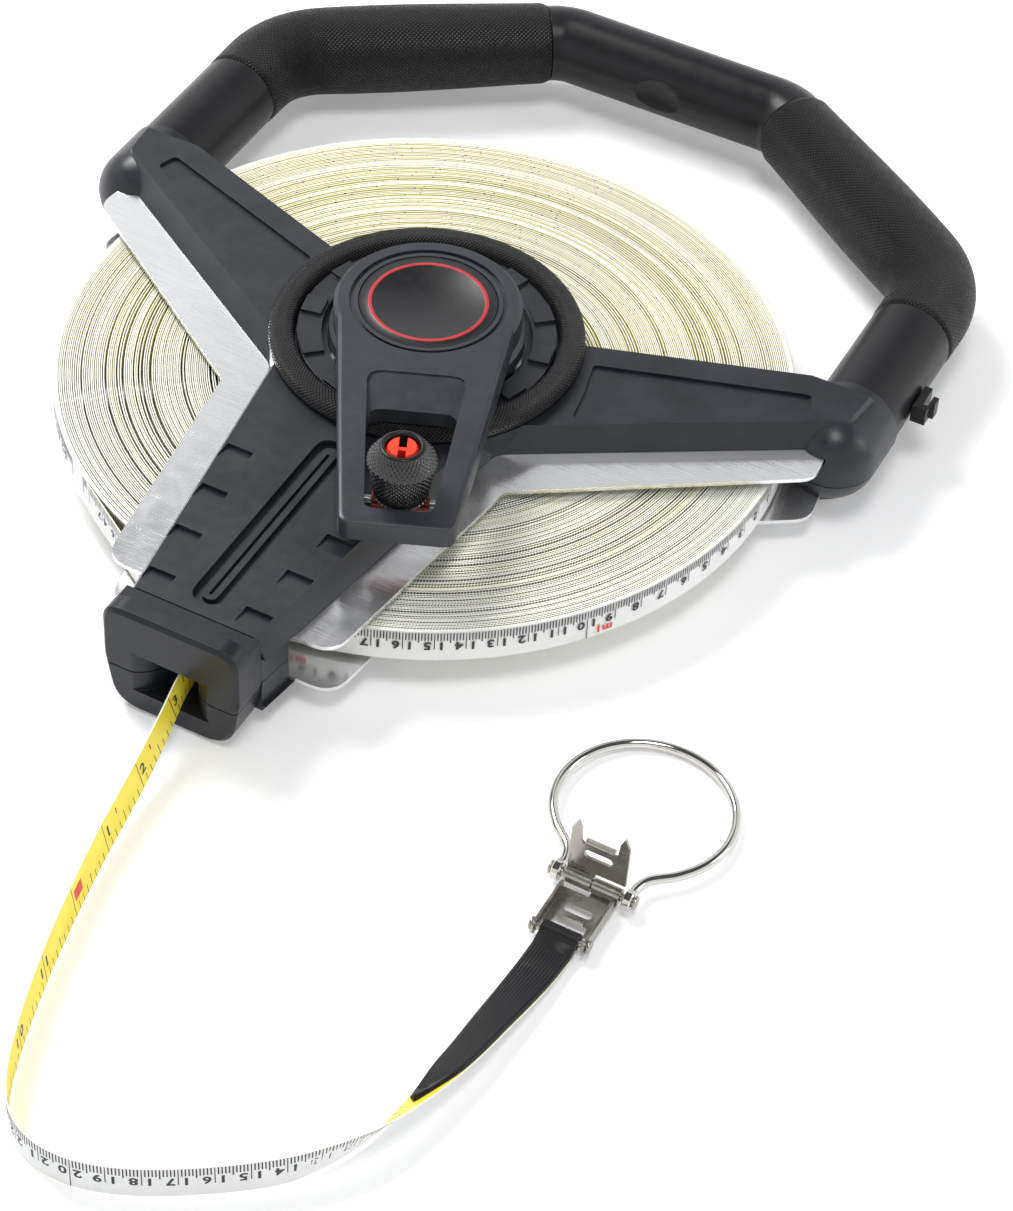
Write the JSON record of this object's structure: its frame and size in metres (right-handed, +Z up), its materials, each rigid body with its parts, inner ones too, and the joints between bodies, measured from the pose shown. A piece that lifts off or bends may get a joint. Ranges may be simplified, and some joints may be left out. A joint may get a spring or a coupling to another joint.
{
  "type": "surveyor tape reel",
  "caption": "Open-reel long measuring tape in a Y-shaped frame with a bent tubular handle, a crank with a folding knob, and a free end with a folding hook and pull ring.",
  "frame": {"origin": "on the reel's axis, at the flat face under the lower cover that the reel rests on", "axes": "+Z up along the reel's axis, from the resting face to the crank; +Y towards the handle; -Y towards the mouth that the tape leaves by; +X to the right seen from above with the handle at the top"},
  "size_m": [0.3259, 0.5327, 0.0715],
  "materials": {
    "cover_plastic": "satin charcoal moulded plastic with a fine grain",
    "smooth_plastic": "smooth satin black plastic",
    "grip_rubber": "soft black rubber with a fine diamond pattern",
    "crank_plastic": "satin black plastic",
    "red_plastic": "red-orange plastic, half gloss",
    "label_film": "black printed film with a red ring",
    "guard_steel": "polished sheet steel with fine scratches",
    "nickel_plate": "bright nickel plate",
    "dark_steel": "plain machined steel",
    "spool_plastic": "light grey moulded plastic",
    "tape": "white tape, yellow on the inner side, printed graduations",
    "leader_sleeve": "black ribbed sleeve"
  },
  "bodies": {
    "frame": {"top_cover": "cover_plastic", "bottom_cover": "cover_plastic", "top_guard_plate": "guard_steel", "bottom_guard_plate": "guard_steel", "mouth_upper": "smooth_plastic", "mouth_lower": "smooth_plastic", "hub_ring": "grip_rubber", "hub_bezel": "cover_plastic", "axle": "dark_steel", "cover_screw_1": "dark_steel", "cover_screw_2": "dark_steel", "cover_screw_3": "dark_steel", "cover_screw_4": "dark_steel", "cover_screw_5": "dark_steel", "cover_screw_6": "dark_steel", "right_leg": "smooth_plastic", "left_leg": "smooth_plastic", "right_grip": "grip_rubber", "left_grip": "grip_rubber", "handle_centre": "smooth_plastic", "ring_park": "smooth_plastic", "inner_tape": "tape", "payout_tape": "tape", "tape_leader": "leader_sleeve"},
    "reel": {"spool": "spool_plastic", "tape_pack": "tape", "lower_bush": "dark_steel", "upper_bush": "dark_steel", "crank_arm": "crank_plastic", "label_disc": "label_film", "crank_screw": "dark_steel", "knob_pin": "dark_steel"},
    "knob_stem": {"knob_post": "red_plastic"},
    "knob": {"knob_grip": "grip_rubber"},
    "hook_link": {"link_frame": "nickel_plate", "tape_pin": "nickel_plate", "hinge_pin": "nickel_plate"},
    "hook_fork": {"fork_plate": "nickel_plate"},
    "hook_ring": {"pull_ring": "nickel_plate"}
  },
  "joints": [
    {"name": "reel_spin", "type": "hinge", "parent": "frame", "child": "reel", "pos_m": [0, 0, 0.01865], "axis": [0, 0, 1], "continuous": true},
    {"name": "knob_fold", "type": "hinge", "parent": "reel", "child": "knob_stem", "pos_m": [0.03572, -0.08294, 0.0472], "axis": [-0.9184, -0.3955, 0], "range_deg": [0, 76]},
    {"name": "knob_spin", "type": "hinge", "parent": "knob_stem", "child": "knob", "pos_m": [0.03572, -0.08294, 0.06], "axis": [0, 0, 1], "continuous": true},
    {"name": "link_hinge", "type": "hinge", "parent": "frame", "child": "hook_link", "pos_m": [0.1449, -0.1805, 0.004], "axis": [1, 0, 0], "range_deg": [0, 105]},
    {"name": "fork_hinge", "type": "hinge", "parent": "hook_link", "child": "hook_fork", "pos_m": [0.1449, -0.159, 0.0046], "axis": [1, 0, 0], "range_deg": [-80, 60]},
    {"name": "ring_hinge", "type": "hinge", "parent": "hook_link", "child": "hook_ring", "pos_m": [0.1449, -0.159, 0.0046], "axis": [1, 0, 0], "range_deg": [0, 165]}
  ]
}
